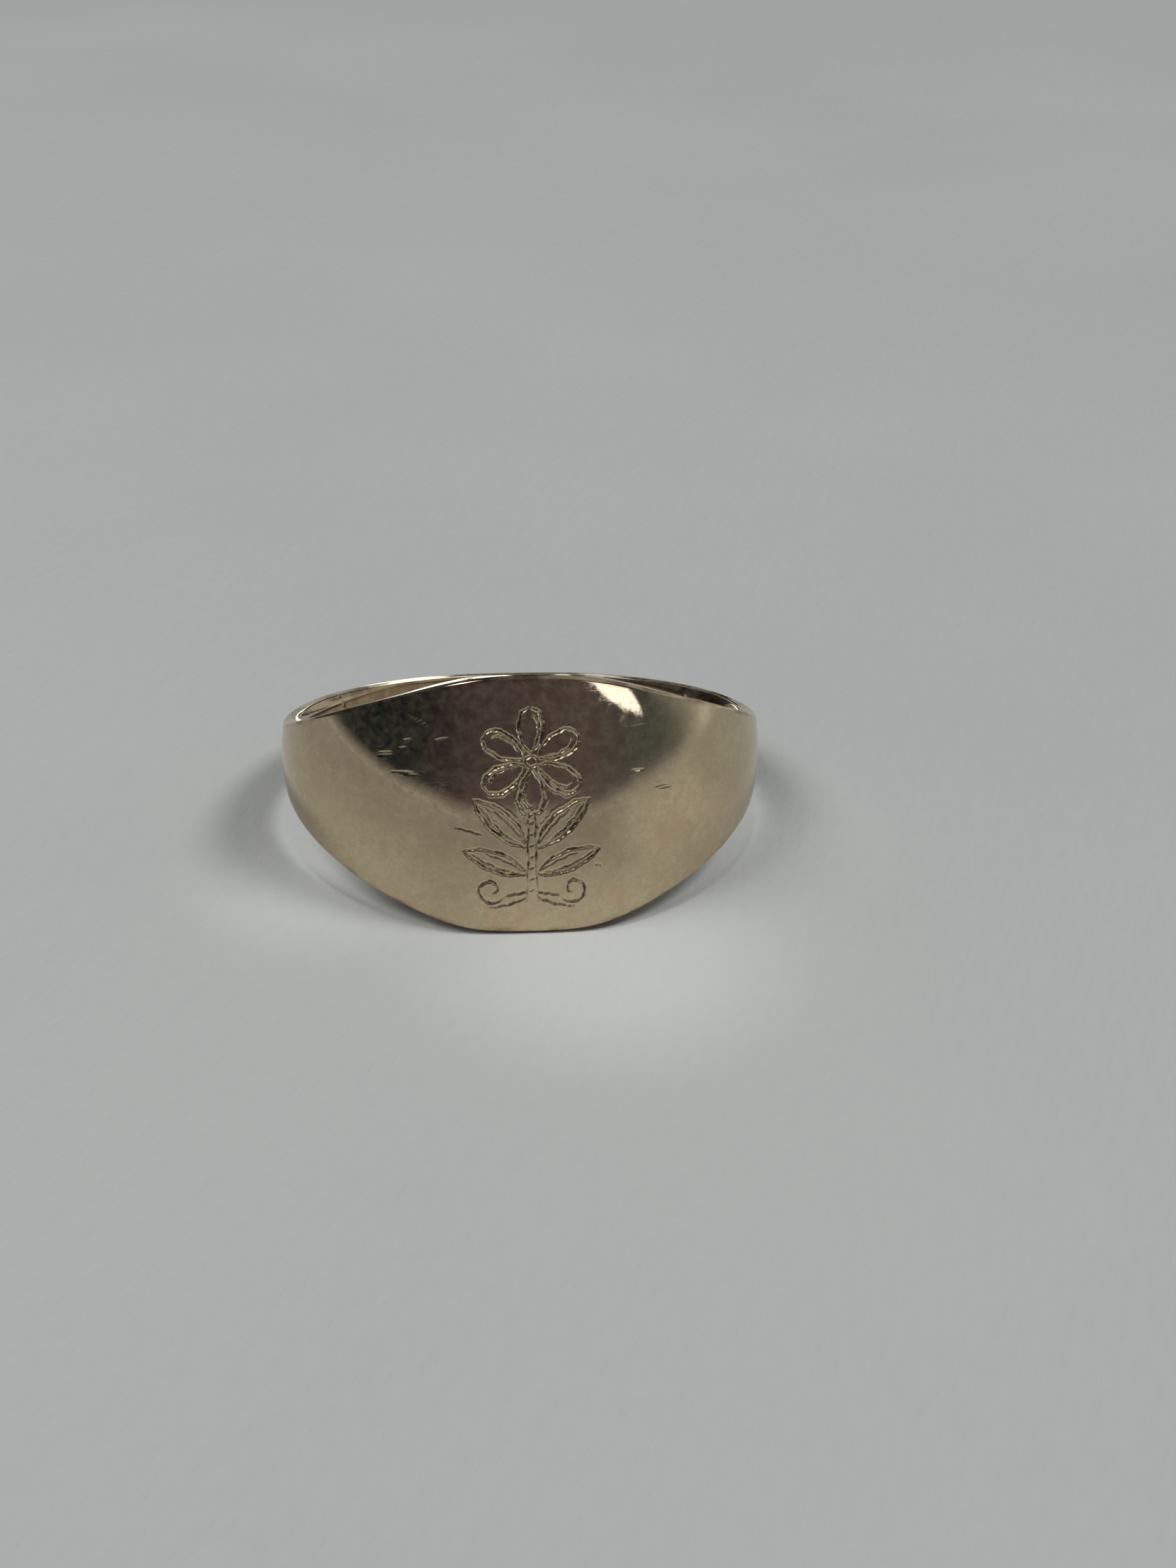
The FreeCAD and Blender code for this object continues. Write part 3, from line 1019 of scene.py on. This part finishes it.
def make_lit_patch(level):
    """Paper lit by the window, in front and to the right, as the shoulder mirrors it."""
    def cover(azimuth, radius):
        return 0.22 * between(azimuth, 34.0, 46.0, 68.0, 84.0) * between(radius, 11.0, 19.0, 36.0, 56.0)

    return floor_patch("lit_patch", level, np.arange(30.0, 86.0, 2.0), np.arange(10.0, 58.0, 3.0),
                       (0.80, 0.76, 0.70), cover)


def make_dim_patch(level):
    """Paper shaded by whoever stands in front, towards the dark screen."""
    def cover(azimuth, radius):
        return 0.46 * between(azimuth, -150.0, -130.0, 26.0, 40.0) * rise(radius, 10.0, 36.0)

    return floor_patch("dim_patch", level, np.arange(-150.0, 42.0, 4.0), np.arange(10.0, 60.0, 2.5),
                       (0.22, 0.22, 0.24), cover)


def make_gleam(level):
    """A bright strip on the paper behind, that the sloping near rim mirrors."""
    def cover(azimuth, radius):
        across = radius * np.sin(np.radians(azimuth))
        return between(across, -8.0, -7.0, -4.5, -3.0) * between(radius, 19.0, 22.0, 100.0, 106.0)

    return floor_patch("gleam", level, np.arange(180.5, 216.0, 0.5), np.arange(14.0, 107.0, 3.0),
                       (2.3, 2.3, 2.2), cover)


CAMERA_AZIMUTH = -4.34
CAMERA_ELEVATION = 28.02
CAMERA_ROLL = 0.80
CAMERA_DISTANCE = 99.22
AIM_RIGHT = 2.85
AIM_UP = -1.70
LENS = 54.0


def make_camera():
    azimuth, elevation = math.radians(CAMERA_AZIMUTH), math.radians(CAMERA_ELEVATION)
    back = Vector((math.sin(azimuth) * math.cos(elevation), -math.cos(azimuth) * math.cos(elevation),
                   math.sin(elevation)))
    right = Vector((0, 0, 1)).cross(back).normalized()
    up = back.cross(right)
    roll = math.radians(CAMERA_ROLL)
    right, up = right * math.cos(roll) + up * math.sin(roll), up * math.cos(roll) - right * math.sin(roll)
    spot = ring.centre + (right * AIM_RIGHT + up * AIM_UP + back * CAMERA_DISTANCE) * MM
    data = bpy.data.cameras.new("camera")
    data.lens = LENS
    data.clip_start = 0.002
    data.clip_end = 10.0
    camera = bpy.data.objects.new("camera", data)
    camera.matrix_world = Matrix.Translation(spot) @ Matrix((right, up, back)).transposed().to_4x4()
    bpy.context.scene.collection.objects.link(camera)
    bpy.context.scene.camera = camera


def add_lamp(name, kind, power, spot):
    """A lamp at a spot, shining straight down."""
    data = bpy.data.lights.new(name, kind)
    data.energy = power
    lamp = bpy.data.objects.new(name, data)
    lamp.location = spot
    bpy.context.scene.collection.objects.link(lamp)
    return lamp


def aim(lamp):
    """Turn a lamp towards the ring."""
    lamp.rotation_euler = (lamp.location - ring.centre).to_track_quat("Z", "Y").to_euler()


def make_far_lamp(name, strength, width, direction):
    """A soft light far away, kept out of reflections."""
    lamp = add_lamp(name, "SUN", strength, direction)
    lamp.data.angle = math.radians(width)
    lamp.visible_glossy = False
    aim(lamp)


def make_softbox():
    """A square soft light in front on the left."""
    lamp = add_lamp("softbox_front", "AREA", SOFTBOX_POWER, SOFTBOX_PLACE)
    lamp.data.shape = "SQUARE"
    lamp.data.size = SOFTBOX_SIZE
    aim(lamp)


def make_spill(name, power, cone, spot):
    """Light that the polished face throws down on the paper beside it."""
    lamp = add_lamp(name, "SPOT", power, spot)
    lamp.data.spot_size = math.radians(cone)
    lamp.data.spot_blend = 1.0
    lamp.data.shadow_soft_size = 0.003
    lamp.visible_glossy = False


def mirrored_room(tree):
    """A dim room with a brighter ceiling, darker to the left, as a background shader."""
    direction = tree.nodes.new("ShaderNodeTexCoord")
    split = tree.nodes.new("ShaderNodeSeparateXYZ")
    ramp = tree.nodes.new("ShaderNodeValToRGB")
    ramp.color_ramp.interpolation = "EASE"
    elements = ramp.color_ramp.elements
    while len(elements) < len(ROOM_STOPS):
        elements.new(0.5)
    for element, (place, colour) in zip(elements, ROOM_STOPS):
        element.position = place
        element.color = colour
    shade = tree.nodes.new("ShaderNodeMapRange")
    for name, value in ROOM_SHADE:
        shade.inputs[name].default_value = value
    room = tree.nodes.new("ShaderNodeBackground")
    tree.links.new(direction.outputs["Generated"], split.inputs[0])
    tree.links.new(split.outputs["Z"], ramp.inputs[0])
    tree.links.new(split.outputs["X"], shade.inputs[0])
    tree.links.new(ramp.outputs[0], room.inputs["Color"])
    tree.links.new(shade.outputs[0], room.inputs["Strength"])
    return room


def for_rays(tree, kind, others, chosen):
    """A shader that is chosen for rays of a kind and others for the rest."""
    path = tree.nodes.new("ShaderNodeLightPath")
    mixer = tree.nodes.new("ShaderNodeMixShader")
    tree.links.new(path.outputs[kind], mixer.inputs[0])
    tree.links.new(others.outputs[0], mixer.inputs[1])
    tree.links.new(chosen.outputs[0], mixer.inputs[2])
    return mixer


def make_world():
    """Pale surroundings, with a dim room in reflections and a plain backdrop for the camera."""
    world = bpy.data.worlds.new("studio")
    world.use_nodes = True
    tree = world.node_tree
    plain = tree.nodes["Background"]
    plain.inputs["Color"].default_value = SURROUNDINGS
    plain.inputs["Strength"].default_value = SURROUNDINGS_STRENGTH
    backdrop = tree.nodes.new("ShaderNodeBackground")
    backdrop.inputs["Color"].default_value = BACKDROP
    mirrored = for_rays(tree, "Is Glossy Ray", plain, mirrored_room(tree))
    seen = for_rays(tree, "Is Camera Ray", mirrored, backdrop)
    tree.links.new(seen.outputs[0], tree.nodes["World Output"].inputs["Surface"])
    bpy.context.scene.world = world


def make_ring():
    """The four visible pieces and their metals."""
    gold = worn_gold("worn_gold", PALE_GOLD, DEEP_GOLD, 0.030, 0.95)
    strip_gold = worn_gold("strip_gold", STRIP_PALE, STRIP_DEEP, 0.06, 0.6)
    solder = solder_metal()
    make_head().data.materials.append(gold)
    make_shank().data.materials.append(strip_gold)
    for side in ("left", "right"):
        make_seam(side).data.materials.append(solder)


def make_stage():
    level = cad_box[0].z
    make_floor(level)
    make_screen(level)
    make_window()
    make_back_screen(level)
    make_lit_patch(level)
    make_dim_patch(level)
    make_gleam(level)
    for name, strength, width, direction in FAR_LAMPS:
        make_far_lamp(name, strength, width, direction)
    make_softbox()
    for name, power, cone, spot in SPILLS:
        make_spill(name, power, cone, spot)
    make_world()
    make_camera()
    bpy.context.scene.view_settings.view_transform = "Standard"


make_ring()
make_stage()
